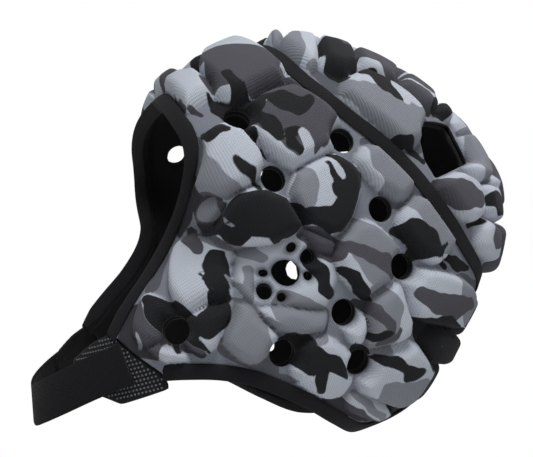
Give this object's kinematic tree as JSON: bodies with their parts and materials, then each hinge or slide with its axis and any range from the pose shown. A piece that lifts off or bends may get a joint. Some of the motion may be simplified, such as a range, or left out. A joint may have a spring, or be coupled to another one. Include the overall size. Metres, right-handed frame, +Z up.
{
  "type": "rugby scrum cap",
  "caption": "Padded rugby scrum cap in its worn form: foam-block side and crown panels with vent holes, black lining, bound edges, dotted strap patches and a chin strap loop.",
  "frame": {"origin": "point on the lining's inner face at the middle of the crown, where the cap rests on the top of the head", "axes": "+Z up out of the crown, the wearer faces -Y, +X toward the wearer's left side; X is the cap's shortest overall size"},
  "size_m": [0.185, 0.2374, 0.2858],
  "materials": {
    "camo_padding": "grey camouflage stretch knit over foam, matte with a faint sheen",
    "lining_cloth": "black matte knit",
    "trim_cloth": "black woven binding, matte",
    "dotted_patch": "black hook-and-loop patch with small raised light dots",
    "strap_webbing": "black fleece-faced webbing, matte"
  },
  "bodies": {
    "root": {"left_side_panel": "camo_padding", "right_side_panel": "camo_padding", "crown_panel": "camo_padding", "lining": "lining_cloth", "crown_seam_tape": "trim_cloth", "face_binding": "trim_cloth", "neck_binding": "trim_cloth", "left_strap_patch": "dotted_patch", "right_strap_patch": "dotted_patch", "chin_strap": "strap_webbing"}
  },
  "joints": []
}
